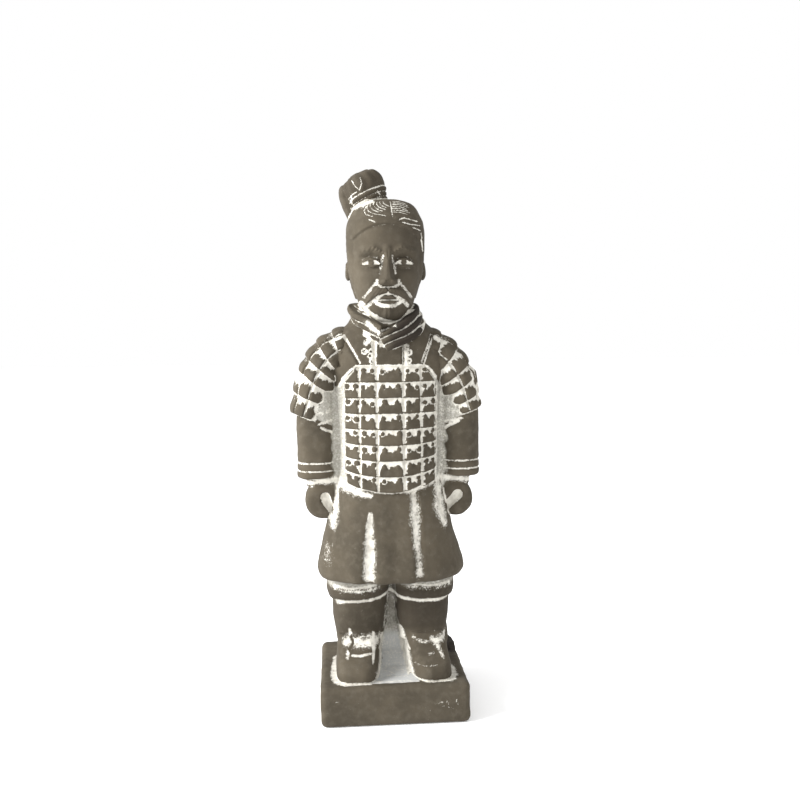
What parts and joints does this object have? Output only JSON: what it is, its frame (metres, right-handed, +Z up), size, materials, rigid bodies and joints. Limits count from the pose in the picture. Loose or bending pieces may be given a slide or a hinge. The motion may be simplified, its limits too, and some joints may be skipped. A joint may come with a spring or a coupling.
{
  "type": "terracotta warrior statue",
  "caption": "Small cast clay statue of a standing warrior in plate armour, a scarf and a flared coat, with a topknot, on a square block plinth cast in one with the shoes.",
  "frame": {"origin": "middle of the plinth's underside", "axes": "+Z up along the standing figure, -Y the way the figure faces, +X towards the figure's left hand"},
  "size_m": [0.09, 0.066, 0.25],
  "materials": {
    "washed_clay": "matte"
  },
  "bodies": {
    "root": {"statue": "washed_clay"}
  },
  "joints": []
}
